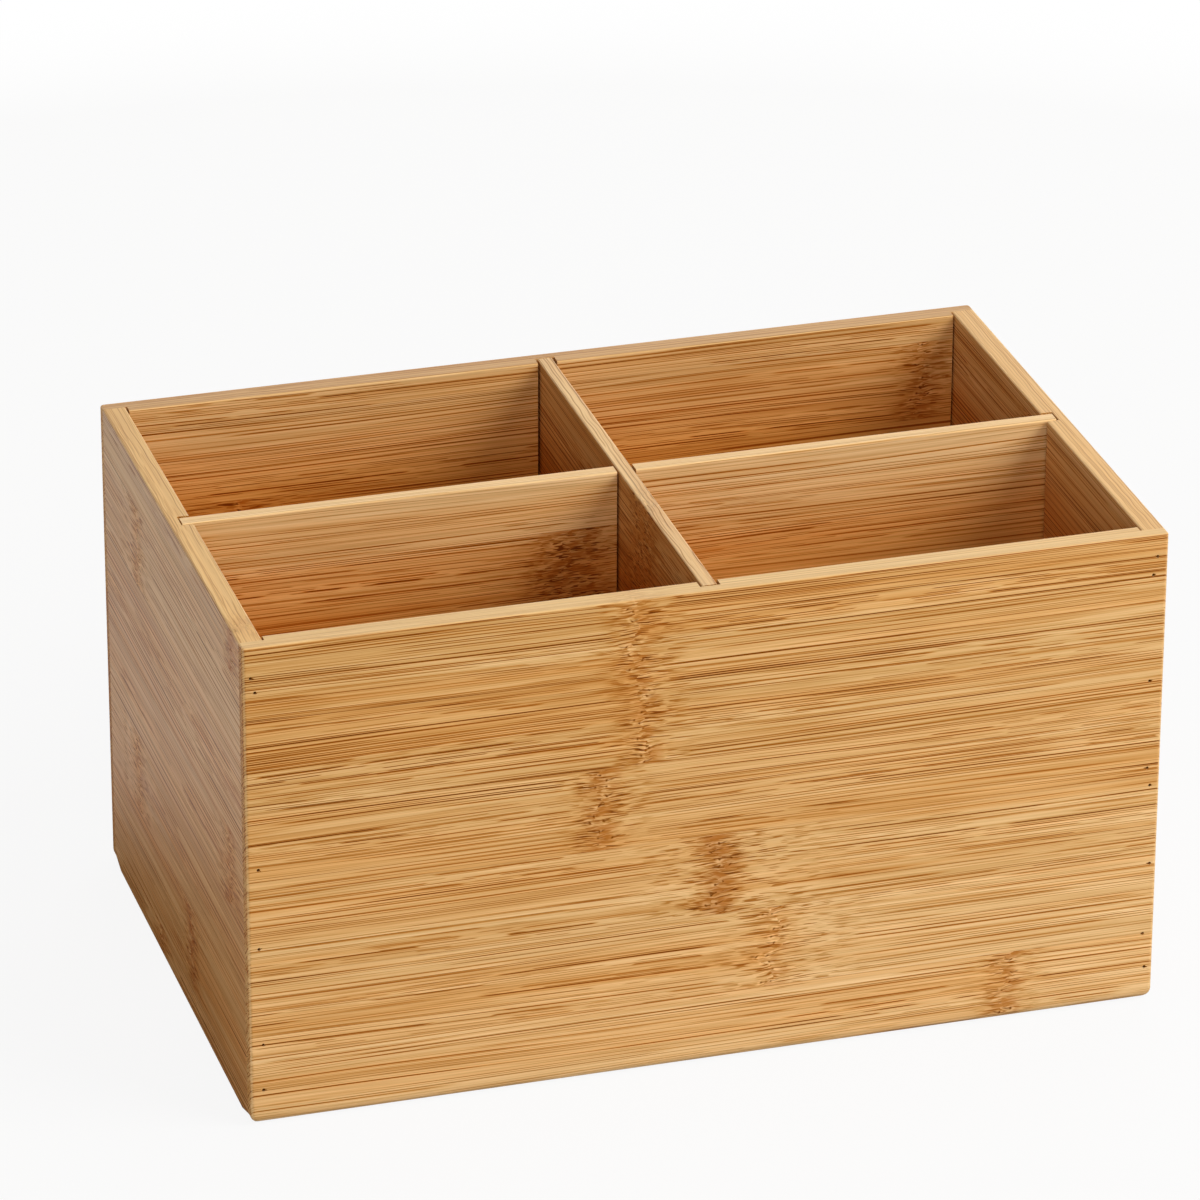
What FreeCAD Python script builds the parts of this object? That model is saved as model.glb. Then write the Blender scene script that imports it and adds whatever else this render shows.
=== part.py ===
import FreeCAD, Part
import math
import os

import Sketcher

# A bamboo vanity organizer: four walls pinned at the corners, a bottom panel held in grooves, and two
# loose dividers that cross in a half lap, stand in upright grooves and lift out.
# Millimetres. +X runs to the right, +Y to the back and +Z up, from the middle of the base.

SIZES = (
    ("width", 235.0, "overall, left to right"),
    ("depth", 150.0, "overall, front to back"),
    ("height", 130.0, "overall, base to rim"),
    ("wall", 6.0, "thickness of the four walls"),
    ("rabbet", 2.5, "depth of the rabbets at the ends of the front and back"),
    ("shoulder_gap", 0.4, "slit between a side and the rabbet's shoulder"),
    ("upright_round", 1.0, "radius of the upright corners"),
    ("lower_round", 3.0, "radius of the lower edges of the front and back, and of the lower corners"),
    ("side_round", 0.6, "radius of the sides' lower edges"),
    ("corner_blend", 6.0, "length in which a side's lower edge opens out to the corner's radius"),
    ("rim_round", 0.5, "radius of the walls' upper edges"),
    ("floor_rise", 4.0, "clear space under the bottom panel"),
    ("floor_board", 4.0, "thickness of the bottom panel"),
    ("floor_groove", 2.5, "depth of the grooves that hold the bottom panel"),
    ("floor_slack", 0.2, "height of those grooves over the bottom panel's thickness"),
    ("floor_gap", 0.3, "from the bottom panel's edges to the ends of those grooves"),
    ("divider", 4.0, "thickness of the two dividers"),
    ("divider_round", 0.5, "radius of the dividers' upper edges"),
    ("dado", 3.2, "depth of the upright grooves that the dividers stand in"),
    ("dado_play", 1.2, "width of those grooves over a divider's thickness"),
    ("dado_gap", 0.4, "from a divider's ends to the ends of those grooves"),
    ("lap_play", 1.0, "width of the half-lap slots over a divider's thickness"),
    ("lap_gap", 0.4, "from the end of one half-lap slot to the end of the other"),
    ("pin", 0.8, "diameter of a corner pin"),
    ("pin_length", 15.0, "length of a corner pin"),
    ("pin_point", 0.25, "bevel round a pin's point"),
    ("pin_sink", 0.5, "from the wall's face to a pin's head"),
    ("pin_ease", 0.02, "diameter of a pin's hole over the pin's"),
    ("pin_tip_gap", 0.5, "from a pin's point to the end of its hole"),
)

# Each pin of a row: the level it is measured from, its rise from there, and its drift from the
# middle of the side's thickness towards the inside.
PIN_ROWS = {
    "left": (
        ("rim", -8.1, -1.0),
        ("rim", -12.0, 0.0),
        ("middle", 5.4, 0.0),
        ("middle", -16.2, -0.2),
        ("floor", 14.3, 0.4),
        ("floor", 1.8, 0.3),
    ),
    "right": (
        ("rim", -5.9, -0.1),
        ("rim", -10.8, 0.8),
        ("middle", 25.1, 0.7),
        ("middle", 0.9, 0.5),
        ("middle", -4.0, -0.4),
        ("middle", -26.1, -1.1),
        ("floor", 11.1, 0.0),
        ("floor", 1.5, -0.8),
    ),
}

MOST_OF_A_LIP = 0.9  # share of the lip that the rounding of a corner may take

# Lengths that follow from the sizes.
LIP = "(sizes.wall - sizes.rabbet)"
SHOULDER = "(sizes.wall + sizes.shoulder_gap)"
SIDE_LENGTH = f"(sizes.depth - 2 * {LIP})"
LOWER_ROUND = f"min(sizes.lower_round; {MOST_OF_A_LIP} * {LIP})"
FLOOR_TOP = "(sizes.floor_rise + sizes.floor_board)"
FLOOR_REACH = "(sizes.wall - sizes.floor_groove + sizes.floor_gap)"
DADO_HALF = "((sizes.divider + sizes.dado_play) / 2)"
DIVIDER_REACH = "(sizes.wall - sizes.dado + sizes.dado_gap)"
DIVIDER_HEIGHT = f"(sizes.height - {FLOOR_TOP})"
LAP_HALF = "((sizes.divider + sizes.lap_play) / 2)"
PIN_HOLE = "(sizes.pin + sizes.pin_ease)"
PIN_HOLE_DEPTH = f"(sizes.pin_sink + sizes.pin_length + sizes.pin_tip_gap - {LIP})"
LEVELS = {"rim": "sizes.height", "middle": "sizes.height / 2", "floor": FLOOR_TOP}

NEAR = 1e-4  # edges closer than this are taken as one place
AS_DRAWN = FreeCAD.Rotation()
TURNED_ROUND = FreeCAD.Rotation(0, 0, 1, 0)  # half a turn about the vertical, as a quaternion

doc = FreeCAD.newDocument("vanity_organizer")


def make_sheet():
    """Writes every driving size into the sheet under its own name."""
    sheet = doc.addObject("Spreadsheet::Sheet", "sizes")
    rows = list(SIZES)
    for row_name, pins in PIN_ROWS.items():
        for number, (level, rise, drift) in enumerate(pins, 1):
            rows.append((f"{row_name}_pin_{number}_rise", rise, f"pin's rise from the {level}"))
            rows.append((f"{row_name}_pin_{number}_drift", drift, "pin's drift towards the inside"))
    for line, (name, value, note) in enumerate(rows, 1):
        sheet.set(f"A{line}", name)
        sheet.set(f"B{line}", str(value))
        sheet.set(f"C{line}", note)
        sheet.setAlias(f"B{line}", name)
    doc.recompute()
    return sheet


sheet = make_sheet()


def value_of(expression):
    return float(sheet.evalExpression(expression))


def make_body(label, turn=AS_DRAWN, x="0", y="0", z="0"):
    """Starts a piece, turned about the vertical and placed by expressions."""
    body = doc.addObject("PartDesign::Body", label)
    body.Label = label
    body.Placement.Rotation = turn
    for axis, distance in zip("xyz", (x, y, z)):
        body.setExpression(f"Placement.Base.{axis}", distance)
    return body


def make_sketch(body, name, role, offset="0"):
    """Lays a sketch on one of the piece's own planes, moved along that plane's normal."""
    sketch = body.newObject("Sketcher::SketchObject", name)
    plane = next(item for item in body.Origin.OriginFeatures if item.Role == role)
    sketch.AttachmentSupport = [(plane, "")]
    sketch.MapMode = "FlatFace"
    sketch.setExpression("AttachmentOffset.Base.z", offset)
    return sketch


def hold(sketch, kind, expression, *picks):
    """Adds a dimension to a sketch and ties it to an expression."""
    index = sketch.addConstraint(Sketcher.Constraint(kind, *picks, value_of(expression)))
    sketch.setExpression(f"Constraints[{index}]", expression)


def add_rectangle(sketch, left, right, low, high):
    """Draws a rectangle whose sides stand at the given distances from the sketch's origin."""
    x0, x1, y0, y1 = (value_of(side) for side in (left, right, low, high))
    corners = [FreeCAD.Vector(x, y, 0) for x, y in ((x0, y0), (x1, y0), (x1, y1), (x0, y1))]
    sides = [sketch.addGeometry(Part.LineSegment(corners[n - 1], corners[n])) for n in range(4)]
    for n, side in enumerate(sides):
        sketch.addConstraint(Sketcher.Constraint("Coincident", sides[n - 1], 2, side, 1))
        sketch.addConstraint(Sketcher.Constraint("Horizontal" if n % 2 else "Vertical", side))
    lower, upper = sides[1], sides[3]
    hold(sketch, "DistanceX", left, -1, 1, lower, 1)
    hold(sketch, "DistanceX", right, -1, 1, lower, 2)
    hold(sketch, "DistanceY", low, -1, 1, lower, 1)
    hold(sketch, "DistanceY", high, -1, 1, upper, 1)


def add_corner(sketch, radius):
    """Draws what a rounding takes from the corner at the sketch's origin."""
    size = value_of(radius)
    corner, foot, shoulder = (FreeCAD.Vector(x, y, 0) for x, y in ((0, 0), (size, 0), (0, size)))
    circle = Part.Circle(FreeCAD.Vector(size, size, 0), FreeCAD.Vector(0, 0, 1), size)
    lower = sketch.addGeometry(Part.LineSegment(corner, foot))
    upright = sketch.addGeometry(Part.LineSegment(shoulder, corner))
    arc = sketch.addGeometry(Part.ArcOfCircle(circle, math.pi, 1.5 * math.pi))
    sketch.addConstraint(Sketcher.Constraint("Coincident", lower, 1, -1, 1))
    sketch.addConstraint(Sketcher.Constraint("Coincident", upright, 2, -1, 1))
    sketch.addConstraint(Sketcher.Constraint("Coincident", arc, 1, upright, 1))
    sketch.addConstraint(Sketcher.Constraint("Coincident", arc, 2, lower, 2))
    sketch.addConstraint(Sketcher.Constraint("Horizontal", lower))
    sketch.addConstraint(Sketcher.Constraint("Vertical", upright))
    hold(sketch, "DistanceX", radius, -1, 1, lower, 2)
    hold(sketch, "DistanceY", radius, -1, 1, upright, 1)
    hold(sketch, "Radius", radius, arc)


def add_pin_row(sketch, row_name, across, diameter):
    """Draws a circle at each pin of a row; across places a pin by its inset from the wall's end."""
    axis = FreeCAD.Vector(0, 0, 1)
    for number, (level, rise, drift) in enumerate(PIN_ROWS[row_name], 1):
        inset = f"(sizes.wall / 2 + sizes.{row_name}_pin_{number}_drift)"
        x = across.format(inset=inset)
        y = f"{LEVELS[level]} + sizes.{row_name}_pin_{number}_rise"
        centre = FreeCAD.Vector(value_of(x), value_of(y), 0)
        circle = sketch.addGeometry(Part.Circle(centre, axis, value_of(diameter) / 2))
        hold(sketch, "Diameter", diameter, circle)
        hold(sketch, "DistanceX", x, -1, 1, circle, 3)
        hold(sketch, "DistanceY", y, -1, 1, circle, 3)


def pad(body, sketch, length, reverse=False, centred=False):
    """Thickens a sketch into a board or a row of pins."""
    feature = body.newObject("PartDesign::Pad", f"{sketch.Name}_pad")
    feature.Profile = sketch
    feature.setExpression("Length", length)
    feature.Reversed = reverse
    feature.Midplane = centred
    doc.recompute()


def recompute_cut(body, feature, before):
    """Makes sure that a cut took something away from the volume there was before."""
    doc.recompute()
    if body.Shape.Volume > before - NEAR:
        raise RuntimeError(f"{feature.Label} cuts nothing from {body.Label}")


def pocket(body, sketch, depth, reverse=False, centred=False):
    """Cuts a sketch into the piece."""
    before = body.Shape.Volume
    feature = body.newObject("PartDesign::Pocket", f"{sketch.Name}_cut")
    feature.Profile = sketch
    feature.setExpression("Length", depth)
    feature.Reversed = reverse
    feature.Midplane = centred
    recompute_cut(body, feature, before)


def plane_off(body, sketches, name):
    """Takes away what lies between one sketch and the next."""
    before = body.Shape.Volume
    feature = body.newObject("PartDesign::SubtractiveLoft", name)
    feature.Profile = sketches[0]
    feature.Sections = sketches[1:]
    feature.Ruled = True
    recompute_cut(body, feature, before)


def ease_edges(body, kind, size_name, size, chosen):
    """Rounds or bevels the edges whose boxes are chosen."""
    base = body.Tip
    names = [f"Edge{n}" for n, edge in enumerate(base.Shape.Edges, 1) if chosen(edge.BoundBox)]
    feature = body.newObject(f"PartDesign::{kind}", f"{body.Name}_{kind.lower()}")
    feature.Base = (base, names)
    feature.setExpression(size_name, size)
    doc.recompute()


def round_rim(body, radius, length_name):
    """Rounds the two upper edges that run along the piece."""
    top = body.Tip.Shape.BoundBox.ZMax
    ease_edges(body, "Fillet", "Radius", radius,
               lambda box: box.ZMin > top - NEAR and getattr(box, length_name) > NEAR)


def make_end_wall(label, turn, y):
    """Front or back: its outer face lies on the piece's XZ plane, and its ends are rabbeted inside."""
    body = make_body(label, turn, y=y)
    half = "sizes.width / 2"

    board = make_sketch(body, f"{label}_board", "XZ_Plane")
    add_rectangle(board, f"-{half}", half, "0", "sizes.height")
    pad(body, board, "sizes.wall", reverse=True)
    ease_edges(body, "Fillet", "Radius", LOWER_ROUND, lambda box: box.ZMax < NEAR and box.YMin < NEAR)
    ease_edges(body, "Fillet", "Radius", "sizes.upright_round",
               lambda box: box.YMax < NEAR and box.ZLength > box.XLength)
    top = body.Tip.Shape.BoundBox.ZMax
    ease_edges(body, "Fillet", "Radius", "sizes.rim_round", lambda box: box.ZMin > top - NEAR)

    rabbets = make_sketch(body, f"{label}_rabbets", "XY_Plane")
    add_rectangle(rabbets, f"-{half}", f"-{half} + {SHOULDER}", LIP, "sizes.wall")
    add_rectangle(rabbets, f"{half} - {SHOULDER}", half, LIP, "sizes.wall")
    pocket(body, rabbets, "sizes.height", reverse=True)

    floor_groove = make_sketch(body, f"{label}_floor_groove", "YZ_Plane")
    add_rectangle(floor_groove, "sizes.wall - sizes.floor_groove", "sizes.wall",
                  "sizes.floor_rise", f"{FLOOR_TOP} + sizes.floor_slack")
    pocket(body, floor_groove, "sizes.width", centred=True)

    dado = make_sketch(body, f"{label}_dado", "XY_Plane", "sizes.floor_rise")
    add_rectangle(dado, f"-{DADO_HALF}", DADO_HALF, "sizes.wall - sizes.dado", "sizes.wall")
    pocket(body, dado, "sizes.height - sizes.floor_rise", reverse=True)

    holes = make_sketch(body, f"{label}_pin_holes", "XZ_Plane")
    add_pin_row(holes, "left", f"-{half} + {{inset}}", PIN_HOLE)
    add_pin_row(holes, "right", f"{half} - {{inset}}", PIN_HOLE)
    pocket(body, holes, LIP)
    return body


def make_side_wall(label, turn, x):
    """Side: its outer face lies on the piece's YZ plane, and its ends butt against the rabbets."""
    body = make_body(label, turn, x=x)
    half = f"{SIDE_LENGTH} / 2"

    board = make_sketch(body, f"{label}_board", "YZ_Plane")
    add_rectangle(board, f"-{half}", half, "0", "sizes.height")
    pad(body, board, "sizes.wall")
    round_rim(body, "sizes.rim_round", "YLength")
    corners = []
    for name, place, radius in (("near", half, LOWER_ROUND),
                                ("near_blend", f"{half} - sizes.corner_blend", "sizes.side_round"),
                                ("far_blend", f"sizes.corner_blend - {half}", "sizes.side_round"),
                                ("far", f"-{half}", LOWER_ROUND)):
        corners.append(make_sketch(body, f"{label}_{name}_corner", "XZ_Plane", place))
        add_corner(corners[-1], radius)
    plane_off(body, corners, f"{label}_lower_edge")

    floor_groove = make_sketch(body, f"{label}_floor_groove", "XZ_Plane")
    add_rectangle(floor_groove, "sizes.wall - sizes.floor_groove", "sizes.wall",
                  "sizes.floor_rise", f"{FLOOR_TOP} + sizes.floor_slack")
    pocket(body, floor_groove, SIDE_LENGTH, centred=True)

    dado = make_sketch(body, f"{label}_dado", "XY_Plane", "sizes.floor_rise")
    add_rectangle(dado, "sizes.wall - sizes.dado", "sizes.wall", f"-{DADO_HALF}", DADO_HALF)
    pocket(body, dado, "sizes.height - sizes.floor_rise", reverse=True)

    near_holes = make_sketch(body, f"{label}_near_pin_holes", "XZ_Plane", half)
    add_pin_row(near_holes, "left", "{inset}", PIN_HOLE)
    pocket(body, near_holes, PIN_HOLE_DEPTH)
    far_holes = make_sketch(body, f"{label}_far_pin_holes", "XZ_Plane", f"-{half}")
    add_pin_row(far_holes, "right", "{inset}", PIN_HOLE)
    pocket(body, far_holes, PIN_HOLE_DEPTH, reverse=True)
    return body


def make_pins(label, row_name, across, turn, y):
    """A row of headless pins, driven through a rabbet's lip into the end of a side."""
    body = make_body(label, turn, y=y)
    heads = make_sketch(body, f"{label}_heads", "XZ_Plane", "-sizes.pin_sink")
    add_pin_row(heads, row_name, across, "sizes.pin")
    pad(body, heads, "sizes.pin_length", reverse=True)
    tips = body.Tip.Shape.BoundBox.YMax
    ease_edges(body, "Chamfer", "Size", "sizes.pin_point", lambda box: box.YMin > tips - NEAR)
    return body


def make_bottom_panel():
    """A plain board whose edges lie loose in the walls' grooves."""
    body = make_body("bottom_panel", z="sizes.floor_rise")
    board = make_sketch(body, "bottom_panel_board", "XY_Plane")
    half_x = f"(sizes.width / 2 - {FLOOR_REACH})"
    half_y = f"(sizes.depth / 2 - {FLOOR_REACH})"
    add_rectangle(board, f"-{half_x}", half_x, f"-{half_y}", half_y)
    pad(body, board, "sizes.floor_board")
    return body


def make_divider(label, role, span, length_name, slot_low, slot_high):
    """A divider that stands on the bottom panel, with a half-lap slot at the middle of its length."""
    body = make_body(label, z=FLOOR_TOP)
    half = f"({span} / 2 - {DIVIDER_REACH})"
    board = make_sketch(body, f"{label}_board", role)
    add_rectangle(board, f"-{half}", half, "0", DIVIDER_HEIGHT)
    pad(body, board, "sizes.divider", centred=True)
    round_rim(body, "sizes.divider_round", length_name)

    slot = make_sketch(body, f"{label}_slot", role)
    add_rectangle(slot, f"-{LAP_HALF}", LAP_HALF, slot_low, slot_high)
    pocket(body, slot, "sizes.divider", centred=True)
    return body


def make_parts():
    """Makes the box's walls, floor and pins, and then the dividers."""
    front, back = "-sizes.depth / 2", "sizes.depth / 2"
    left, right = "-sizes.width / 2", "sizes.width / 2"
    left_end, right_end = f"{left} + {{inset}}", f"{right} - {{inset}}"
    lap_level = f"{DIVIDER_HEIGHT} / 2"
    return [
        make_end_wall("front_panel", AS_DRAWN, front),
        make_end_wall("back_panel", TURNED_ROUND, back),
        make_side_wall("left_side_panel", AS_DRAWN, left),
        make_side_wall("right_side_panel", TURNED_ROUND, right),
        make_bottom_panel(),
        make_pins("front_left_pins", "left", left_end, AS_DRAWN, front),
        make_pins("front_right_pins", "right", right_end, AS_DRAWN, front),
        make_pins("back_right_pins", "left", left_end, TURNED_ROUND, back),
        make_pins("back_left_pins", "right", right_end, TURNED_ROUND, back),
        make_divider("long_divider", "XZ_Plane", "sizes.width", "XLength",
                     f"{lap_level} - sizes.lap_gap / 2", DIVIDER_HEIGHT),
        make_divider("cross_divider", "YZ_Plane", "sizes.depth", "YLength",
                     "0", f"{lap_level} + sizes.lap_gap / 2"),
    ]


def check(parts):
    """Stops if any step of the model failed or any piece is empty or broken."""
    failed = [item.Label for item in doc.Objects if {"Invalid", "Error"} & set(item.State)]
    broken = [body.Label for body in parts if body.Shape.isNull() or not body.Shape.isValid()]
    if failed or broken:
        raise RuntimeError(f"failed steps {failed}, broken pieces {broken}")


parts = make_parts()
doc.recompute()
check(parts)
os.makedirs("parts", exist_ok=True)
for body in parts:
    body.Shape.exportStep(f"parts/{body.Label}.step")
    print(f"{body.Label}: {len(body.Shape.Solids)} solids, {body.Shape.Volume:.2f} mm3")
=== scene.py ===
import math

import bpy
import numpy as np
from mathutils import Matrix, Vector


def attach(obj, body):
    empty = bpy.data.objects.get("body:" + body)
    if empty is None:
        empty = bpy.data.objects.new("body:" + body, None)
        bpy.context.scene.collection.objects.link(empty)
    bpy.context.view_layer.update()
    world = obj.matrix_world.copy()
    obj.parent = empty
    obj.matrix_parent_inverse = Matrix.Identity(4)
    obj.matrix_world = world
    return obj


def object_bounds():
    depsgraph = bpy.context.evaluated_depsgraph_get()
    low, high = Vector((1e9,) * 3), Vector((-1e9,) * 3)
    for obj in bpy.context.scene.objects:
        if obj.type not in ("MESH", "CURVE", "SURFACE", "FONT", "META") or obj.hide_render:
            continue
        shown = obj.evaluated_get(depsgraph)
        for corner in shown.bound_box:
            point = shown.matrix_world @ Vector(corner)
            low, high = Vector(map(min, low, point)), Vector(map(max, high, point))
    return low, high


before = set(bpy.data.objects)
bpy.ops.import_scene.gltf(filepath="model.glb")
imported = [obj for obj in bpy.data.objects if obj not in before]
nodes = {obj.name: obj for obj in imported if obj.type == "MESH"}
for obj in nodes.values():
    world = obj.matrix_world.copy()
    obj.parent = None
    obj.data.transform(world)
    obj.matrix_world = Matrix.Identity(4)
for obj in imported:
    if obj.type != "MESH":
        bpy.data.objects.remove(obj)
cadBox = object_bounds()     # the CAD model's box, before anything is added
print("frame loaded:", len(nodes), "nodes")

metre = 1000.0           # millimetres in one, since the grain is worked out in millimetres
rimHeight = cadBox[1][2] * metre

rowLine = {                  # a fibre in its row
    "centre": (0.25, 0.5),   # where it lies at least, and how much that varies
    "depth": (0.35, 0.65),   # how dark it is at least, and how much that varies
    "rowStep": 5.3,          # from one row's noise to the next
    "thick": (1.0, 2.5),     # grains of that noise across and through
    "ending": 0.07,          # step of the noise in which it starts or stops
    "dark": 0.3,             # share of its half that is fully dark
    "reach": (1.0, 2.6),     # halves to which it fades out, as it is and with its fringe
}


class Wiring:
    # Short words for the shader nodes used below, so that one step of a pattern is one line

    def __init__(self, tree):
        self.tree = tree

    def node(self, kind, sockets=None, **settings):
        made = self.tree.nodes.new("ShaderNode" + kind)
        for name, value in settings.items():
            setattr(made, name, value)
        for key, value in (sockets or {}).items():
            if isinstance(value, bpy.types.NodeSocket):
                self.tree.links.new(value, made.inputs[key])
            else:
                made.inputs[key].default_value = value
        return made

    def calc(self, operation, *terms):
        return self.node("Math", dict(enumerate(terms)), operation=operation).outputs[0]

    def add(self, first, *others):
        for other in others:
            first = self.calc("ADD", first, other)
        return first

    def times(self, first, *others):
        for other in others:
            first = self.calc("MULTIPLY", first, other)
        return first

    def less(self, first, second):
        return self.calc("SUBTRACT", first, second)

    def oneMinus(self, value):
        return self.less(1.0, value)

    def grow(self, value, least, more):  # least where value is 0, least + more where it is 1
        return self.add(least, self.times(value, more))

    def rise(self, value, low, high):  # 0 below low, 1 above high, an S between them
        sockets = {"Value": value, "From Min": low, "From Max": high}
        return self.node("MapRange", sockets, interpolation_type="SMOOTHSTEP").outputs[0]

    def fall(self, value, low, high):  # 1 below low, 0 above high
        return self.oneMinus(self.rise(value, low, high))

    def bell(self, value, width):  # e to the minus (value / width) squared
        share = self.calc("DIVIDE", value, width)
        return self.calc("EXPONENT", self.times(share, share, -1.0))

    def swing(self, value, size):  # a noise's 0..1 as -size..size
        return self.times(self.less(value, 0.5), 2.0 * size)

    def joined(self, *parts):
        return self.node("CombineXYZ", dict(enumerate(parts))).outputs[0]

    def parted(self, place):
        return self.node("SeparateXYZ", {0: place}).outputs

    def placeInMm(self):
        place = self.node("TexCoord").outputs["Object"]
        return self.node("VectorMath", {0: place, "Scale": metre}, operation="SCALE").outputs[0]

    def noise(self, place, grain, detail=0.0, roughness=0.5):  # grain: how long, wide and deep one is
        inGrains = self.node("VectorMath", {0: place, 1: grain}, operation="DIVIDE").outputs[0]
        sockets = {"Vector": inGrains, "Scale": 1.0, "Detail": detail, "Roughness": roughness}
        return self.node("TexNoise", sockets, noise_dimensions="3D").outputs[0]

    def luck(self, row, salt):  # three chances for each row, each from 0 to 1
        drawn = self.node("TexWhiteNoise", {"W": self.add(row, salt)}, noise_dimensions="1D")
        return self.node("SeparateColor", {0: drawn.outputs["Color"]}).outputs

    def fibres(self, along, level, layer, short, kind):
        # Thin lines of one thickness: one in each row, at its own place and depth, that starts and stops.
        # They come back twice, as they are and with a soft fringe.
        step = self.calc("DIVIDE", self.add(level, kind["start"]), kind["pitch"])
        row = self.calc("FLOOR", step)
        chance = self.luck(row, 0.37)
        centre = self.grow(chance[0], *rowLine["centre"])
        aside = self.times(self.calc("ABSOLUTE", self.less(self.less(step, row), centre)), kind["pitch"])
        place = self.joined(along, self.times(row, rowLine["rowStep"]), layer)
        there = [self.noise(place, (length, *rowLine["thick"])) for length in kind["lengths"]]
        there = self.rise(self.tint(short, *there), kind["bare"], kind["bare"] + rowLine["ending"])
        there = self.times(there, self.grow(chance[1], *rowLine["depth"]))
        half = kind["half"]
        return [self.times(self.fall(aside, rowLine["dark"] * half, reach * half), there)
                for reach in rowLine["reach"]]

    def tint(self, amount, under, over, how="MIX"):
        sockets = {"Factor": amount, 6: under, 7: over}
        return self.node("Mix", sockets, data_type="RGBA", blend_type=how).outputs[2]

    def ramp(self, value, stops, interpolation="LINEAR"):
        made = self.node("ValToRGB", {0: value})
        made.color_ramp.interpolation = interpolation
        while len(made.color_ramp.elements) < len(stops):
            made.color_ramp.elements.new(1.0)
        for element, (position, colour) in zip(made.color_ramp.elements, stops):
            element.position = position
            element.color = colour
        return made.outputs

    def bump(self, height, strength):  # height in mm
        sockets = {"Height": height, "Strength": strength, "Distance": 1.0 / metre}
        return self.node("Bump", sockets).outputs[0]

    def show(self, shader, output="OutputMaterial"):
        self.tree.links.new(shader.outputs[0], self.node(output).inputs["Surface"])


def newMaterial(name):
    material = bpy.data.materials.new(name)
    material.use_nodes = True
    material.node_tree.nodes.clear()
    return material, Wiring(material.node_tree)


def newPiece(name, points, faces, material):
    mesh = bpy.data.meshes.new(name)
    mesh.from_pydata(points.reshape(-1, 3), [], faces)
    mesh.materials.append(material)
    piece = bpy.data.objects.new(name, mesh)
    bpy.context.scene.collection.objects.link(piece)
    return piece


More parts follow.
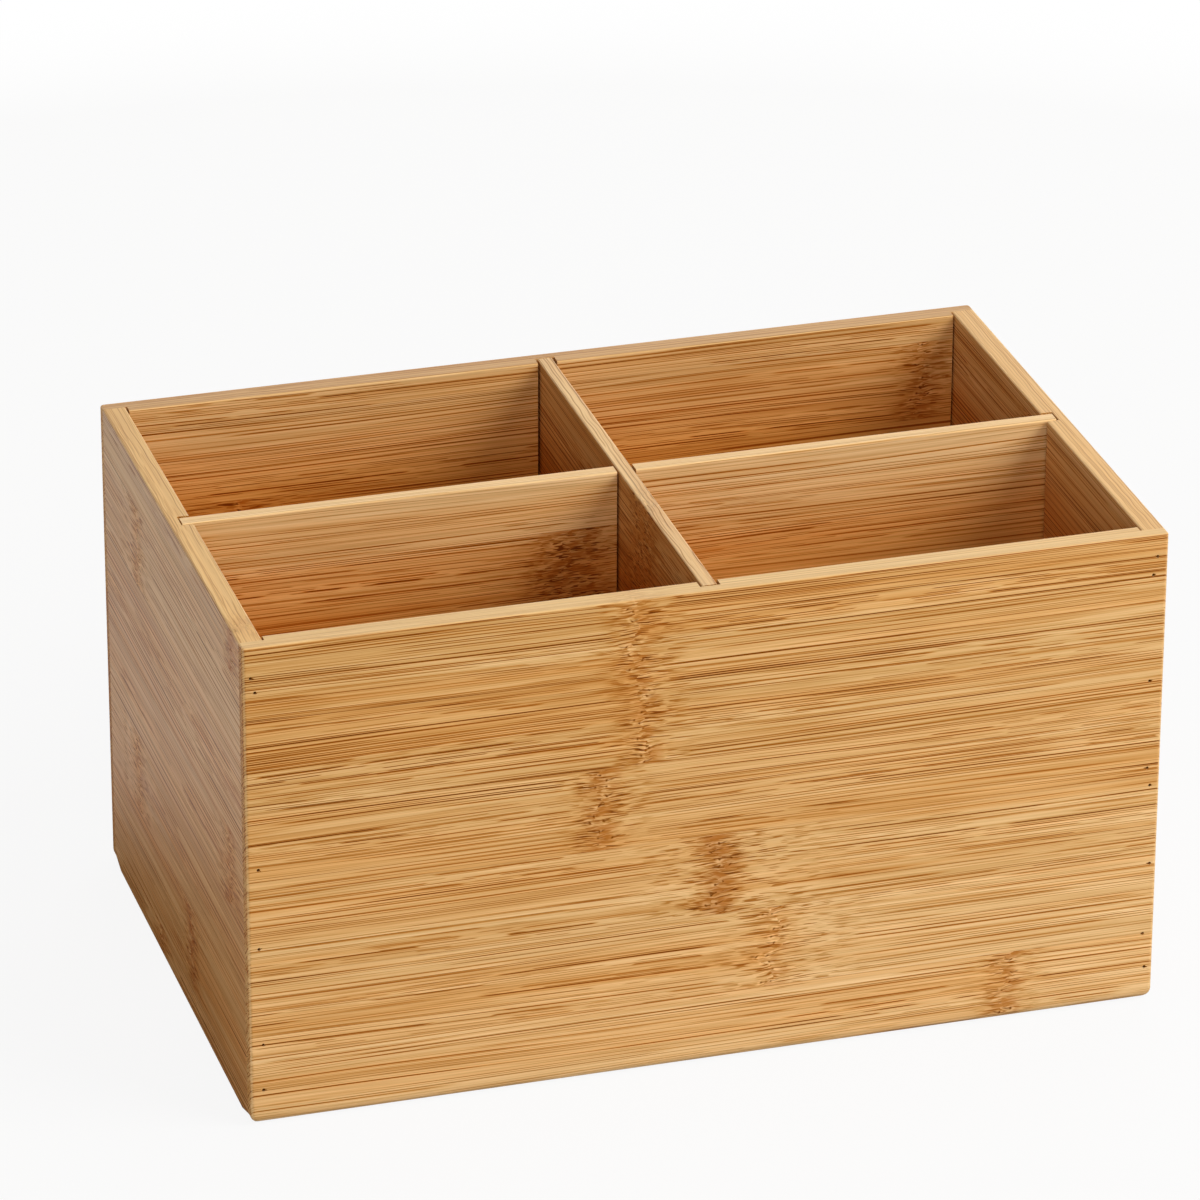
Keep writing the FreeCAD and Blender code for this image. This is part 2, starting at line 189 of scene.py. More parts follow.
bamboo = {
    "tones": (                            # from the dark of a fibre to the palest ground
        (0.00, (0.110, 0.022, 0.002, 1.0)),
        (0.20, (0.285, 0.086, 0.007, 1.0)),
        (0.40, (0.440, 0.200, 0.045, 1.0)),
        (0.60, (0.600, 0.352, 0.130, 1.0)),
        (0.80, (0.742, 0.482, 0.224, 1.0)),
        (1.00, (0.900, 0.632, 0.342, 1.0)),
    ),
    "ground": 0.71,                       # tone of the ground between the fibres
    "amber": (0.95, 0.78, 0.57, 1.0),     # the warm bands are multiplied by this
    "fringe": (1.0, 0.80, 0.50, 1.0),     # and the ground beside a bold fibre by this
    "stain": (0.33, 0.110, 0.022, 1.0),   # brown of a knuckle
    "tuft": (0.46, 0.165, 0.026, 1.0),    # the orange smudges beside it
    "pit": (0.160, 0.042, 0.004, 1.0),    # pores of a knuckle
    "pale": (0.82, 0.610, 0.330, 1.0),    # sawn upper edges, and rubbed corners; on the upper edges it is partly a painted highlight, the gloss they catch
    "ring": (0.48, 0.31, 0.14, 1.0),      # the growth lines on those edges are multiplied by this
    "sheen": (0.75, 0.40, 0.08, 1.0),     # tint of the lacquer's gloss, seen square on
    "paintedShade": (0.90, 0.58, 0.27, 1.0),      # painted shade: the boards are multiplied by this below the rim, more towards the inside of the box
    "paintedShadeBelow": (90.0, 32.0),            # mm below the rim where that is complete, outside and inside
    "stripPitch": 22.07,                  # mm, how wide the strips are that a board is glued from
    "placeSpan": 300.0,                   # mm each way in which a knuckle's place is kept
    "reachSpan": 50.0,                    # mm at most that a knuckle's short dashes spread
    "apart": (331.0, 97.3, 613.0),        # mm along and through to the next strip, through to the next board
    "grains": {                           # mm along, across and through of one grain of a noise
        "wander": (900, 5.0, 5.0),
        "jitter": (900, 1.1, 1.1),
        "drift": (140, 12, 12),
        "bend": (5.0, 2.2, 2.2),
        "band": (110, 4.0, 4.0),
        "streak": (120, 1.0, 1.0),
        "hairs": (26, 0.22, 0.22),
        "dashes": (5.5, 0.34, 0.34),
        "patch": (2.4, 0.30, 0.30),       # the dashes of a scattered knuckle
        "wave": (8, 30, 30),
        "relief": (30, 0.36, 0.36),
        "shade": (150, 30, 30),
    },
    "cuts": {                             # the same, and the noise's levels where it starts and is complete
        "short": ((130, 9, 9), 0.50, 0.66),
        "strokes": ((4.0, 0.36, 0.36), 0.52, 0.58),
        "tufts": ((4.6, 1.7, 1.7), 0.46, 0.60),
        "paleCells": ((2.0, 0.6, 0.6), 0.54, 0.62),
        "warmBroad": ((260, 7.0, 7.0), 0.44, 0.66),
        "warmNarrow": ((190, 1.9, 1.9), 0.46, 0.66),
    },
    "rows": {  # mm between fibres, half of one, the long and short ones' lengths, share left bare, first row
        "broad": {"pitch": 2.6, "half": 0.70, "lengths": (110, 24), "bare": 0.50, "start": 17.9},
        "bold": {"pitch": 1.35, "half": 0.22, "lengths": (95, 20), "bare": 0.45, "start": 0.0},
        "fine": {"pitch": 0.62, "half": 0.15, "lengths": (70, 14), "bare": 0.42, "start": 31.7},
        "growth": {"pitch": 0.95, "half": 0.21, "lengths": (75, 75), "bare": 0.38, "start": 53.1},
    },
    "strays": {"wander": 4.0, "jitter": 3.0, "drift": 1.3, "bend": 0.7, "wave": 0.45},  # mm to each side
    "knuckle": {                          # mm, and in a pair what a scattered or a browner one has on top
        "core": 2.6,
        "halo": (6.5, 5.0),
        "brown": (3.8, 6.0),
        "tufts": (3.6, 6.0),
        "tuftsAt": 1.0,                   # beyond the chain
        "nearSide": 0.5,                  # how much sooner the dashes end on the side before the knuckle
        "allDashes": 0.2,                 # share of the reach in which there is no long fibre
        "dashLevels": (0.55, 0.64),
        "dashDepth": (0.62, 0.45),
        "markPitch": 2.2,                 # between the dark marks
        "markStray": 4.5,
        "markSize": (0.26, 0.16),
        "tailCurl": 0.10,
        "tailWidth": (0.08, 0.24),
        "tailStart": (-0.1, 0.1),
        "tailEnd": (1.2, 2.6),
        "tailDepth": (0.35, 0.5),
        "glowStart": (0.35, 0.55),
        "glowEnd": (0.7, 1.3),
        "cellsLost": 0.8,                 # share of the pale cells that a fully brown one lacks
        "otherFibres": 61.7,              # step to the fibres beyond it
    },
    "fine": 0.75,                         # depth of a fine fibre beside a bold one
    "darker": {"broad": 0.10, "lines": (0.26, 0.90), "strokes": (0.10, 0.34), "end": 0.10},  # steps of tone
    "lighter": {"paleCells": 0.20, "glow": 0.14},
    "uneven": {"band": 0.13, "streak": 0.11, "hairs": 0.20, "shade": 0.06},
    "share": {                            # of each tint
        "fringe": 0.6, "halo": 0.35, "warm": 0.68, "warmBroad": 0.65, "warmNarrow": 0.45,
        "tufts": (0.32, 0.55), "brown": 0.42, "pits": 0.95, "seam": 0.30, "edge": 0.30, "top": 0.50,
    },
    "onTop": {"lines": 0.30, "pits": 0.5},  # how much of these a sawn upper edge loses
    "seamLine": (0.03, 0.16),             # mm from the seam
    "rough": {"ground": 0.34, "lines": 0.16, "halo": 0.06, "pits": 0.4, "uneven": 0.06, "end": 0.2},
    "height": {"relief": 0.012, "lines": -0.010, "pits": -0.05, "seam": 0.02, "seamWidth": 0.15},  # mm
    "bump": 0.7,
    "ior": 1.5,
    "faces": {                            # where each starts and is complete, by the way that a face points
        "edge": (0.02, 0.22), "end": (0.75, 0.95), "top": (0.6, 0.95), "outside": (3.0, 6.0),
    },
}


def makeStripGrain():
    # Grain of one bamboo strip, as a solid pattern in mm: along, across and through the strip.
    # Fibres are thin lines in rows, one to a row, that start and stop. They run on in warm and pale bands.
    # At a knuckle they break into short dashes, round a crooked chain of strokes, pale cells and pores.
    group = bpy.data.node_groups.new("stripGrain", "ShaderNodeTree")
    for name, kind in (("Place", "Vector"), ("Knuckle", "Float"), ("Stain", "Float"), ("Reach", "Float"),
                       ("Scatter", "Float"), ("Seam", "Float"), ("Edge", "Float"), ("End", "Float"),
                       ("Top", "Float"), ("Rings", "Float"), ("Shade", "Float")):
        group.interface.new_socket(name, in_out="INPUT", socket_type="NodeSocket" + kind)
    for name, kind in (("Colour", "Color"), ("Roughness", "Float"), ("Height", "Float")):
        group.interface.new_socket(name, in_out="OUTPUT", socket_type="NodeSocket" + kind)
    w = Wiring(group)
    given = group.nodes.new("NodeGroupInput").outputs
    place, stain, scatter, top = (given[name] for name in ("Place", "Stain", "Scatter", "Top"))
    knuckle, grains, strays, share = (bamboo[name] for name in ("knuckle", "grains", "strays", "share"))
    chain = w.oneMinus(scatter)  # a scattered knuckle has only dashes, in a broad patch

    def stray(name):
        return w.swing(w.noise(place, grains[name]), strays[name])

    def cut(where, name, detail=0.0):
        grain, low, high = bamboo["cuts"][name]
        return w.rise(w.noise(where, grain, detail), low, high)

    fromChain = w.add(given["Knuckle"], stray("wander"))
    fromKnuckle = w.add(fromChain, stray("jitter"))
    core = w.times(w.bell(fromKnuckle, knuckle["core"]), chain)
    halo = w.bell(fromKnuckle, w.grow(scatter, *knuckle["halo"]))
    brown = w.bell(fromChain, w.grow(scatter, *knuckle["brown"]))
    beyond = w.calc("GREATER_THAN", fromKnuckle, 0.0)
    nearSide = w.times(w.oneMinus(beyond), fromKnuckle, knuckle["nearSide"])
    away = w.calc("ABSOLUTE", w.add(fromKnuckle, nearSide))
    feather = w.fall(away, w.times(given["Reach"], knuckle["allDashes"]), given["Reach"])

    aside = w.add(stray("drift"), w.times(stray("bend"), core))
    step = w.joined(0.0, aside, w.times(beyond, knuckle["otherFibres"]))
    flow = w.node("VectorMath", {0: place, 1: step}, operation="ADD").outputs[0]

    band = w.noise(flow, grains["band"], 1.0)
    streak = w.noise(flow, grains["streak"])
    hairs = w.noise(flow, grains["hairs"])
    short = w.calc("MINIMUM", w.add(cut(flow, "short"), feather), 1.0)
    along, across, through = w.parted(flow)[:3]
    level = w.add(across, through)  # slanted through the board, so that its edges show fibres as well
    layer = w.less(across, through)
    broad, _ = w.fibres(along, level, layer, short, bamboo["rows"]["broad"])
    bold, fringe = w.fibres(along, level, layer, short, bamboo["rows"]["bold"])
    fine, _ = w.fibres(along, level, layer, short, bamboo["rows"]["fine"])
    lines = w.calc("MAXIMUM", bold, w.times(fine, bamboo["fine"]))
    dashes = w.tint(scatter, w.noise(flow, grains["dashes"]), w.noise(flow, grains["patch"]))
    dashes = w.rise(dashes, *knuckle["dashLevels"])
    lines = w.tint(feather, lines, w.times(dashes, w.grow(scatter, *knuckle["dashDepth"])))
    strokes = w.times(cut(flow, "strokes"), halo)
    tufts = w.bell(w.less(fromChain, knuckle["tuftsAt"]), w.grow(scatter, *knuckle["tufts"]))
    tufts = w.times(cut(flow, "tufts", 1.0), tufts)
    paleCells = w.times(cut(flow, "paleCells"), core, w.oneMinus(w.times(stain, knuckle["cellsLost"])))

    # The dark marks: one dot in each row across the chain, with a tail to one side and a pale ring
    markStep = w.calc("DIVIDE", level, knuckle["markPitch"])
    markRow = w.calc("FLOOR", markStep)
    chance = w.luck(markRow, 0.71)
    markAlong = w.add(fromChain, w.times(w.less(chance[0], 0.5), knuckle["markStray"]))
    markAcross = w.less(w.less(markStep, markRow), w.grow(chance[1], *rowLine["centre"]))
    markAcross = w.times(markAcross, knuckle["markPitch"])
    toMark = w.joined(markAlong, markAcross, 0.0)
    toMark = w.node("VectorMath", {0: toMark}, operation="LENGTH").outputs["Value"]
    size = w.grow(stain, *knuckle["markSize"])
    dots = w.fall(toMark, w.times(size, 0.5), size)
    tailSide = w.less(w.times(w.calc("GREATER_THAN", chance[2], 0.5), 2.0), 1.0)
    tailAlong = w.times(markAlong, tailSide)
    tailCurl = w.calc("ABSOLUTE", w.less(markAcross, w.times(tailAlong, tailAlong, knuckle["tailCurl"])))
    tails = w.times(w.fall(tailCurl, *knuckle["tailWidth"]), w.rise(tailAlong, *knuckle["tailStart"]),
                    w.fall(tailAlong, *knuckle["tailEnd"]))
    here = w.times(chain, w.oneMinus(w.times(top, bamboo["onTop"]["pits"])))
    tails = w.times(tails, w.grow(stain, *knuckle["tailDepth"]))
    pits = w.times(w.calc("MAXIMUM", dots, tails), here)
    glow = w.times(w.rise(toMark, *knuckle["glowStart"]), w.fall(toMark, *knuckle["glowEnd"]), here)
    rings, _ = w.fibres(along, w.add(level, stray("wave")), layer, 0.0, bamboo["rows"]["growth"])

    darker, lighter, uneven = (bamboo[name] for name in ("darker", "lighter", "uneven"))
    depth = w.times(lines, w.grow(band, *darker["lines"]))
    depth = w.times(depth, w.oneMinus(w.times(top, bamboo["onTop"]["lines"])))
    tone = w.add(bamboo["ground"], given["Shade"], w.swing(band, uneven["band"]),
                 w.swing(streak, uneven["streak"]), w.swing(hairs, uneven["hairs"]))
    tone = w.less(w.less(tone, depth), w.times(broad, darker["broad"]))
    tone = w.less(tone, w.times(strokes, w.grow(stain, *darker["strokes"])))
    tone = w.add(tone, w.times(paleCells, lighter["paleCells"]), w.times(glow, lighter["glow"]))
    tone = w.less(tone, w.times(given["End"], darker["end"]))
    colour = w.ramp(tone, bamboo["tones"])[0]
    fringe = w.add(w.times(fringe, w.oneMinus(feather), share["fringe"]), w.times(halo, share["halo"]))
    colour = w.tint(fringe, colour, bamboo["fringe"], "MULTIPLY")
    warm = w.add(w.times(cut(flow, "warmBroad"), share["warmBroad"]),
                 w.times(cut(flow, "warmNarrow"), share["warmNarrow"]))
    colour = w.tint(w.times(warm, share["warm"]), colour, bamboo["amber"], "MULTIPLY")
    colour = w.tint(w.times(tufts, w.grow(stain, *share["tufts"])), colour, bamboo["tuft"])
    colour = w.tint(w.times(brown, w.calc("POWER", stain, 2.0), share["brown"]), colour, bamboo["stain"])
    colour = w.tint(w.times(pits, share["pits"]), colour, bamboo["pit"])
    seamLine = w.fall(given["Seam"], *bamboo["seamLine"])
    colour = w.tint(w.times(seamLine, share["seam"]), colour, bamboo["stain"])
    colour = w.tint(w.times(given["Edge"], share["edge"]), colour, bamboo["pale"])
    # Sawn upper edges are paler, and part of that pale is a painted highlight for the gloss they catch
    colour = w.tint(w.times(top, share["top"]), colour, bamboo["pale"])
    colour = w.tint(w.times(rings, given["Rings"]), colour, bamboo["ring"], "MULTIPLY")

    rough = bamboo["rough"]
    roughness = w.add(rough["ground"], w.times(lines, rough["lines"]), w.times(halo, rough["halo"]),
                      w.times(pits, rough["pits"]), w.swing(band, rough["uneven"]),
                      w.swing(hairs, rough["uneven"]), w.times(given["End"], rough["end"]))
    raised = bamboo["height"]
    height = w.swing(w.noise(place, grains["relief"], 1.0), raised["relief"])
    height = w.add(height, w.times(lines, raised["lines"]), w.times(pits, raised["pits"]))
    height = w.less(height, w.times(w.fall(given["Seam"], 0.0, raised["seamWidth"]), raised["seam"]))
    out = group.nodes.new("NodeGroupOutput")
    for name, socket in (("Colour", colour), ("Roughness", roughness), ("Height", height)):
        group.links.new(socket, out.inputs[name])
    return group


# For each board: which axes run along, across and through its strips, the mm where its lowest strip starts,
# what its sawn upper edge is multiplied by, how much its tone lightens over 100 mm along (painted light),
# how much painted shade darkens its colour below the rim outside and inside, and how plain its growth lines
# are. Then for each strip, from the lowest: the mm along the board where its knuckle is, its brown, the mm
# that its dashes spread, whether it is a patch of dashes (1) or a chain (0), and how much lighter the strip
# is, partly its own tone and partly painted light and shade. A place outside the board is a strip with no
# knuckle in it.
boards = {
    "front_panel": {
        "axes": "XZY", "lowestSeam": -2.9, "seed": 1, "rim": (0.95, 0.95, 0.90, 1.0),
        "paintedLightSlope": 0.03, "paintedShade": (0.0, 0.8), "rings": 0.35,
        "knuckles": (
            (77.5, 0.60, 14, 0, 0.13), (16.0, 0.35, 32, 0, 0.10), (1.5, 1.0, 40, 0, 0.05),
            (-28.5, 0.75, 18, 0, 0.0), (-18.0, 0.45, 16, 0, -0.03), (-19.5, 0.40, 16, 0, -0.05),
            (-19.5, 0.4, 16, 0, -0.05),
        ),
    },
    "back_panel": {
        "axes": "XZY", "lowestSeam": -9.0, "seed": 2, "rim": (0.70, 0.61, 0.54, 1.0),
        "paintedLightSlope": 0.02, "paintedShade": (0.0, 1.0), "rings": 0.6,
        "knuckles": (
            (-60.0, 0.5, 16, 0, -0.06), (42.0, 0.8, 26, 0, -0.13), (-12.0, 0.4, 16, 0, -0.16),
            (71.0, 0.7, 20, 1, -0.14), (-84.0, 0.5, 30, 0, 0.0), (102.0, 0.6, 14, 0, 0.07),
            (-150.0, 0.3, 14, 0, 0.04),
        ),
    },
    "left_side_panel": {
        "axes": "YZX", "lowestSeam": -14.0, "seed": 3, "rim": (0.93, 0.87, 0.72, 1.0),
        "paintedLightSlope": 0.0, "paintedShade": (0.4, 0.9), "rings": 0.7,
        "knuckles": (
            (20.0, 0.5, 14, 0, 0.05), (-13.6, 0.8, 14, 0, 0.05), (41.0, 0.4, 30, 0, 0.04),
            (-58.0, 0.5, 18, 0, 0.03), (150.0, 0.4, 14, 0, 0.02), (35.0, 0.3, 26, 0, 0.0),
            (-63.6, 0.8, 12, 0, -0.05),
        ),
    },
    "right_side_panel": {
        "axes": "YZX", "lowestSeam": -6.0, "seed": 4, "rim": (0.93, 0.87, 0.75, 1.0),
        "paintedLightSlope": 0.02, "paintedShade": (0.24, 0.9), "rings": 0.8,
        "knuckles": (
            (-40.0, 0.6, 14, 0, 0.03), (22.0, 0.4, 28, 0, -0.03), (-8.0, 0.9, 16, 0, 0.0),
            (55.0, 0.5, 14, 0, -0.04), (-30.0, 0.4, 20, 1, 0.02), (10.0, 0.6, 14, 0, -0.02),
            (160.0, 0.4, 14, 0, 0.0),
        ),
    },
    "bottom_panel": {
        "axes": "XYZ", "lowestSeam": -79.0, "seed": 5, "rim": (1.0, 1.0, 1.0, 1.0),
        "paintedLightSlope": 0.0, "paintedShade": (0.48, 0.6), "rings": 0.0,
        "knuckles": (
            (30.0, 0.5, 14, 0, -0.08), (-70.0, 0.6, 20, 0, -0.12), (84.0, 0.4, 14, 0, -0.06),
            (-10.0, 0.8, 30, 0, -0.10), (50.0, 0.5, 14, 0, -0.07), (-44.0, 0.5, 16, 0, -0.11),
            (12.0, 0.6, 14, 0, -0.08),
        ),
    },
    "long_divider": {
        "axes": "XZY", "lowestSeam": 5.25, "seed": 6, "rim": (0.98, 0.98, 0.98, 1.0),
        "paintedLightSlope": 0.0, "paintedShade": (0.9, 0.9), "rings": 0.5,
        "knuckles": (
            (60.0, 0.5, 14, 0, -0.12), (-52.0, 0.6, 20, 0, -0.12), (88.0, 0.5, 14, 0, -0.12),
            (-30.0, 0.4, 14, 0, -0.08), (-14.5, 0.70, 17, 1, 0.06), (180.0, 0.3, 14, 0, 0.10),
            (180.0, 0.3, 14, 0, 0.08),
        ),
    },
    "cross_divider": {
        "axes": "YZX", "lowestSeam": 2.0, "seed": 7, "rim": (1.0, 1.0, 0.99, 1.0),
        "paintedLightSlope": 0.0, "paintedShade": (1.0, 1.0), "rings": 1.0,
        "knuckles": (
            (24.0, 0.5, 14, 0, -0.16), (-20.0, 0.6, 14, 0, -0.15), (50.0, 0.4, 20, 0, -0.17),
            (-2.0, 0.5, 14, 0, -0.16), (-20.0, 0.6, 17, 1, -0.16), (-24.0, 0.6, 15, 1, -0.12),
            (160.0, 0.5, 12, 0, -0.12),
        ),
    },
}


def makeBoardMaterial(name, board, grain):
    # Sorts a point of the board into its strip, looks the strip's knuckle up and hands both to the grain
    material, w = newMaterial(name + "_bamboo")
    axisOf = {"X": 0, "Y": 1, "Z": 2}
    place = w.parted(w.placeInMm())
    facing = w.parted(w.node("TexCoord").outputs["Normal"])
    along, across, through = (place[axisOf[axis]] for axis in board["axes"])

    level = w.calc("DIVIDE", w.less(across, board["lowestSeam"]), bamboo["stripPitch"])
    strip = w.calc("FLOOR", level)
    fromMiddle = w.calc("ABSOLUTE", w.less(w.less(level, strip), 0.5))
    seam = w.times(w.less(0.5, fromMiddle), bamboo["stripPitch"])

    # Each strip is one stop of a stepped ramp, which keeps its knuckle's numbers. Another ramp has its shade,
    # partly the strip's own tone and partly painted light and shade.
    knuckles = board["knuckles"]
    stripAt = w.calc("DIVIDE", w.add(strip, 0.5), len(knuckles))
    stops, shades = [], []
    for number, (spot, brown, reach, patch, shade) in enumerate(knuckles):
        start = number / len(knuckles)
        kept = (0.5 + 0.5 * spot / bamboo["placeSpan"], brown, reach / bamboo["reachSpan"], patch)
        stops.append((start, kept))
        shades.append((start, (0.5 + shade, 0.5 + shade, 0.5 + shade, 1.0)))
    looked = w.ramp(stripAt, stops, "CONSTANT")
    shaded = w.ramp(stripAt, shades, "CONSTANT")[0]
    kept = w.node("SeparateColor", {0: looked[0]}).outputs
    spotMm = w.times(w.less(kept[0], 0.5), 2.0 * bamboo["placeSpan"])

    alongApart, throughApart, boardApart = bamboo["apart"]
    solid = w.joined(w.add(along, w.times(strip, alongApart)), across,
                     w.add(through, w.times(strip, throughApart), boardApart * board["seed"]))
    sides = [w.calc("ABSOLUTE", one) for one in facing[:3]]
    flat = w.calc("MAXIMUM", w.calc("MAXIMUM", sides[0], sides[1]), sides[2])
    edge = w.rise(w.oneMinus(flat), *bamboo["faces"]["edge"])
    end = w.rise(sides[axisOf[board["axes"][0]]], *bamboo["faces"]["end"])
    top = w.rise(facing[2], *bamboo["faces"]["top"])  # the sawn edge of an upright board's uppermost strip

    # The strip's tone step, plus painted light: a steady lightening along the board
    shade = w.add(w.less(shaded, 0.5), w.times(along, 0.01 * board["paintedLightSlope"]))
    shade = w.add(shade, w.swing(w.noise(solid, bamboo["grains"]["shade"]), bamboo["uneven"]["shade"]))
    told = {"Place": solid, "Knuckle": w.less(along, spotMm), "Stain": kept[1],
            "Reach": w.times(kept[2], bamboo["reachSpan"]), "Scatter": looked[1],
            "Seam": seam, "Edge": edge, "End": end, "Shade": shade}
    if board["axes"][1] == "Z":
        told["Top"] = top
        told["Rings"] = w.times(top, board["rings"])
    made = w.node("Group", node_tree=grain)
    for socket, value in told.items():
        w.tree.links.new(value, made.inputs[socket])

    colour = w.tint(top, made.outputs["Colour"], board["rim"], "MULTIPLY")
    outward = w.add(w.times(place[0], facing[0]), w.times(place[1], facing[1]))
    outer = w.rise(outward, *bamboo["faces"]["outside"])  # 1 outside the box, 0 on a face towards its middle
    # Painted shade: below the rim the colour is darkened and browned, more on faces inside the box than
    # outside
    paintedShadeShare = [w.times(w.fall(place[2], rimHeight - reach, rimHeight), amount)
                for reach, amount in zip(bamboo["paintedShadeBelow"], board["paintedShade"])]
    paintedShadeShare = w.add(w.times(outer, paintedShadeShare[0]), w.times(w.oneMinus(outer), paintedShadeShare[1]))
    colour = w.tint(paintedShadeShare, colour, bamboo["paintedShade"], "MULTIPLY")
    w.show(w.node("BsdfPrincipled", {
        "Base Color": colour, "Roughness": made.outputs["Roughness"],
        "Normal": w.bump(made.outputs["Height"], bamboo["bump"]), "IOR": bamboo["ior"],
        "Specular Tint": bamboo["sheen"]}))
    return material


grain = makeStripGrain()
for name, board in boards.items():
    nodes[name].material_slots[0].material = makeBoardMaterial(name, board, grain)
print("bamboo:", len(boards), "boards")


pinSteel = {
    "bright": (0.080, 0.028, 0.006, 1.0),
    "dull": (0.030, 0.009, 0.002, 1.0),
    "mottle": (0.5, 0.5, 0.5),     # mm, one spot of rust
    "mottleLevels": (0.35, 0.65),
    "rough": (0.50, 0.3),          # of the steel, and what rust adds
    "pitted": 0.05,                # mm
    "bump": 0.6,
    "metallic": 0.3,
    "gloss": 0.05,
}


def makePinMaterial():
    material, w = newMaterial("pin_dark_steel")
    rust = w.noise(w.placeInMm(), pinSteel["mottle"], 3.0, 0.6)
    colour = w.tint(w.rise(rust, *pinSteel["mottleLevels"]), pinSteel["dull"], pinSteel["bright"])
    w.show(w.node("BsdfPrincipled", {
        "Base Color": colour, "Roughness": w.grow(rust, *pinSteel["rough"]),
        "Normal": w.bump(w.times(rust, pinSteel["pitted"]), pinSteel["bump"]),
        "Metallic": pinSteel["metallic"], "Specular IOR Level": pinSteel["gloss"]}))
    return material


pinRows = [name for name in nodes if name.endswith("_pins")]
pinMaterial = makePinMaterial()
for name in pinRows:
    nodes[name].material_slots[0].material = pinMaterial
print("steel:", len(pinRows), "rows of pins")


tornFibres = {
    "length": (0.65, 1.15),   # mm from the middle of a pin to the tip, the shortest and the longest
    "height": (0.40, 0.62),   # mm at the pin
    "proud": 0.02,            # mm that one stands out of the board
    "slant": 0.5,             # radians at most, up or down
    "curl": 0.15,             # mm at most that the tip bends up or down
    "tip": 0.06,              # share of its thickness that the tip keeps
    "taper": 0.8,             # power of the taper
    "sections": (7, 8),       # along it and round it
    # The slivers' dark brown is mostly painted shade, the shade in the torn hollow beside a pin
    "dark": (0.080, 0.016, 0.001, 1.0),
    "light": (0.190, 0.062, 0.005, 1.0),
    "strand": (0.8, 0.8, 0.08),   # mm, one strand of the torn wood
    "strandLevels": (0.3, 0.7),
    "rough": (0.6, 0.25),
    "ridge": 0.03,            # mm, a strand's height
    "bump": 0.6,
    "gloss": 0.05,
    "seed": 11,
}


def findPins():
    # The pins of a row are told apart by the gaps between them: the middle of each, in m
    middles = []
    for name in pinRows:
        mesh = nodes[name].data
        points = np.empty(3 * len(mesh.vertices))
        mesh.vertices.foreach_get("co", points)
        points = points.reshape(-1, 3)
        points = points[np.argsort(points[:, 2])]
        gaps = np.flatnonzero(np.diff(points[:, 2]) > 1.0 / metre)
        middles += [0.5 * (pin.min(axis=0) + pin.max(axis=0)) for pin in np.split(points, gaps + 1)]
    return np.array(middles)


def makeTornMaterial():
    material, w = newMaterial("torn_fibre_painted_shade")
    # Dark brown mottled by strands: painted shade for the torn hollow beside each pin
    strand = w.noise(w.placeInMm(), tornFibres["strand"], 2.0)
    colour = w.tint(w.rise(strand, *tornFibres["strandLevels"]), tornFibres["dark"], tornFibres["light"])
    w.show(w.node("BsdfPrincipled", {
        "Base Color": colour, "Roughness": w.grow(strand, *tornFibres["rough"]),
        "Normal": w.bump(w.times(strand, tornFibres["ridge"]), tornFibres["bump"]),
        "Specular IOR Level": tornFibres["gloss"]}))
    return material


def makeTornFibres():
    # One sliver at each pin, lying on the board. s runs along it, 0 at the pin and 1 at the tip, t round it.
    # Up it is half the height times the taper times sin t, plus curl times s squared. Out of the board it is
    # proud times the taper times cos t. The taper is (1 - s) to a power, down to the tip's share.
    pins = findPins()[:, :, None, None]
    each = (len(pins), 1, 1)
    draw = np.random.default_rng(tornFibres["seed"])
    side = draw.choice((-1.0, 1.0), each)
    length = draw.uniform(*tornFibres["length"], each) / metre
    height = draw.uniform(*tornFibres["height"], each) / metre
    slant = draw.uniform(-1.0, 1.0, each) * tornFibres["slant"]
    curl = draw.uniform(-1.0, 1.0, each) * tornFibres["curl"] / metre
    facing = np.sign(pins[:, 1])
    lengthwise, sideways = tornFibres["sections"]
    s = np.linspace(0.0, 1.0, lengthwise)[None, :, None]
    t = np.linspace(0.0, 2.0 * np.pi, sideways, endpoint=False)[None, None, :] * -side * facing
    taper = tornFibres["tip"] + (1.0 - tornFibres["tip"]) * (1.0 - s) ** tornFibres["taper"]
    along = length * s + 0.0 * t
    up = 0.5 * height * taper * np.sin(t) + curl * s ** 2
    out = cadBox[1][1] + tornFibres["proud"] / metre * taper * np.cos(t)
    points = np.stack([
        pins[:, 0] + side * (along * np.cos(slant) - up * np.sin(slant)),
        facing * out,
        pins[:, 2] + along * np.sin(slant) + up * np.cos(slant)], -1)
    number = np.arange(along.size).reshape(along.shape)
    after = np.roll(number, -1, axis=2)
    around = np.stack([number[:, :-1], number[:, 1:], after[:, 1:], after[:, :-1]], -1).reshape(-1, 4)
    ends = np.concatenate([number[:, 0], number[:, -1, ::-1]])
    piece = newPiece("torn_fibres", points, around.tolist() + ends.tolist(), makeTornMaterial())
    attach(piece, "box")
    return len(pins)


print("torn fibres:", makeTornFibres())


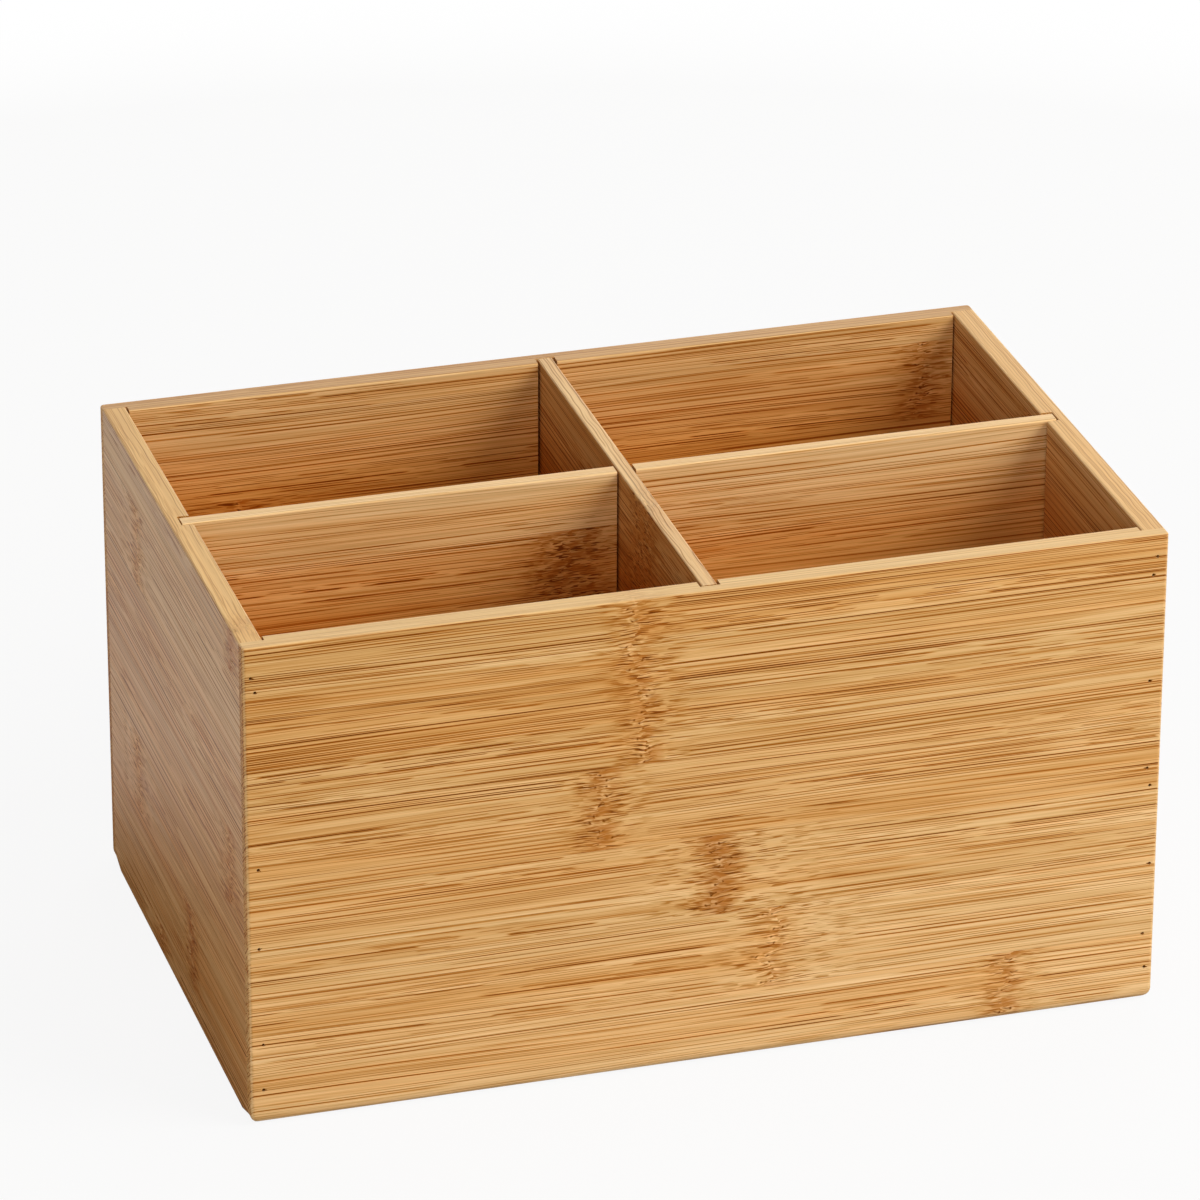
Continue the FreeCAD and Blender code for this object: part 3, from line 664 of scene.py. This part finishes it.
studio = {
    "floorReach": 6.0,                        # m, radius of the floor
    "floorDrop": 0.0002,                      # m below the box
    "floorRings": (24, 72),                   # rings, and steps round each
    "floorColour": (0.60, 0.60, 0.60, 1.0),
    "whiteFrom": 0.18,                        # m from the middle, where the floor starts to whiten
    "whiteAt": 0.70,                          # m, where it is plain white
    "leastWhite": 0.90,                       # share of plain white beside the box, as the camera sees it
    "mirrorFrom": 0.130,                      # m, the same for what the box's gloss mirrors
    "mirrorAt": 0.200,
    "mirrorWhite": 0.66,
    "paintedShadowInGloss": (0.10, 0.09, 0.08, 1.0),  # painted shadow: the floor close to the box, as its gloss mirrors it
    "white": (1.0, 1.0, 1.0, 1.0),
    "ambient": 0.03,                          # light from all round
    "lamps": {                                # place in m, size in m, watts, colour, whether gloss mirrors it
        "key": ((1.35, -0.95, 1.25), 1.5, 42.0, (1.0, 0.97, 0.93), True),
        "front": ((-0.35, -1.55, 1.15), 1.2, 11.0, (1.0, 0.98, 0.95), True),
        "left": ((-1.40, -0.45, 0.40), 0.8, 4.5, (1.0, 0.90, 0.84), True),
        "top": ((0.10, 0.25, 1.70), 0.9, 6.0, (1.0, 0.98, 0.95), True),
        "back": ((0.78, 1.50, 0.40), 1.2, 18.0, (1.0, 0.98, 0.95), False),
    },
    "aim": (0.0, 0.0, 0.065),
}


def makeFloorMaterial():
    # Grey for the light that it sends back, nearly white for the camera; for the box's gloss a painted shadow
    # close by, whitening further out
    material, w = newMaterial("pale_floor")
    place = w.node("TexCoord").outputs["Object"]
    away = w.node("VectorMath", {0: place}, operation="LENGTH").outputs["Value"]
    whiten = w.rise(away, studio["whiteFrom"], studio["whiteAt"])
    path = w.node("LightPath").outputs
    mirrored = w.calc("MAXIMUM", path["Is Glossy Ray"], path["Is Transmission Ray"])
    shine = w.times(w.rise(away, studio["mirrorFrom"], studio["mirrorAt"]), studio["mirrorWhite"])
    share = w.add(w.times(path["Is Camera Ray"], w.calc("MAXIMUM", whiten, studio["leastWhite"])),
                  w.times(mirrored, w.calc("MAXIMUM", whiten, shine)))
    # What the box's gloss mirrors close by is a painted shadow, darker than the lit floor
    shade = w.tint(mirrored, studio["floorColour"], studio["paintedShadowInGloss"])
    matte = w.node("BsdfDiffuse", {"Color": shade})
    plain = w.node("Emission", {"Color": studio["white"], "Strength": 1.0})
    w.show(w.node("MixShader", {0: share, 1: matte.outputs[0], 2: plain.outputs[0]}))
    return material


def makeFloor():
    # Radius s squared times floorReach and angle t, at one height: a disc of rings, its middle a small ring
    rings, steps = studio["floorRings"]
    radii = np.linspace(0.002, 1.0, rings) ** 2 * studio["floorReach"]
    turns = np.linspace(0.0, 2.0 * np.pi, steps, endpoint=False)
    radius, angle = np.meshgrid(radii, turns, indexing="ij")
    down = np.full(radius.shape, -studio["floorDrop"])
    points = np.stack([radius * np.cos(angle), radius * np.sin(angle), down], -1)
    number = np.arange(radius.size).reshape(radius.shape)
    after = np.roll(number, -1, axis=1)
    faces = np.stack([number[:-1], number[1:], after[1:], after[:-1]], -1).reshape(-1, 4)
    floor = newPiece("floor", points, faces.tolist() + [number[0].tolist()], makeFloorMaterial())


def makeWorld():
    world = bpy.data.worlds.new("studio")
    world.use_nodes = True
    world.node_tree.nodes.clear()
    w = Wiring(world.node_tree)
    path = w.node("LightPath").outputs
    shown = w.calc("MAXIMUM", path["Is Camera Ray"], path["Is Glossy Ray"])
    shown = w.calc("MAXIMUM", shown, path["Is Transmission Ray"])
    soft = w.node("Background", {"Color": studio["white"], "Strength": studio["ambient"]})
    white = w.node("Background", {"Color": studio["white"], "Strength": 1.0})
    w.show(w.node("MixShader", {0: shown, 1: soft.outputs[0], 2: white.outputs[0]}), "OutputWorld")
    bpy.context.scene.world = world


def makeLamp(name, place, size, watts, colour, mirrored):
    light = bpy.data.lights.new(name, "AREA")
    light.shape = "DISK"
    light.size = size
    light.energy = watts
    light.color = colour
    lamp = bpy.data.objects.new(name, light)
    lamp.location = place
    away = np.array(place) - np.array(studio["aim"])
    tilt = math.acos(away[2] / np.linalg.norm(away))
    lamp.rotation_euler = (tilt, 0.0, math.atan2(away[1], away[0]) + math.pi / 2)
    lamp.visible_camera = False
    lamp.visible_glossy = mirrored
    bpy.context.scene.collection.objects.link(lamp)


makeFloor()
makeWorld()
for name, settings in studio["lamps"].items():
    makeLamp(name, *settings)
print("studio:", len(studio["lamps"]), "lamps")


viewpoint = {
    "place": (-0.47761, -1.57601, 0.87370),   # m
    "turn": (64.6427, -0.1656, -16.5715),     # degrees
    "lens": 216.14,                           # mm
    "film": 36.0,                             # mm wide
}


def makeCamera():
    camera = bpy.data.cameras.new("camera")
    camera.lens = viewpoint["lens"]
    camera.sensor_width = viewpoint["film"]
    holder = bpy.data.objects.new("camera", camera)
    holder.location = viewpoint["place"]
    holder.rotation_euler = [math.radians(angle) for angle in viewpoint["turn"]]
    bpy.context.scene.collection.objects.link(holder)
    bpy.context.scene.camera = holder


makeCamera()
bpy.context.scene.view_settings.view_transform = "Standard"
print("camera set")
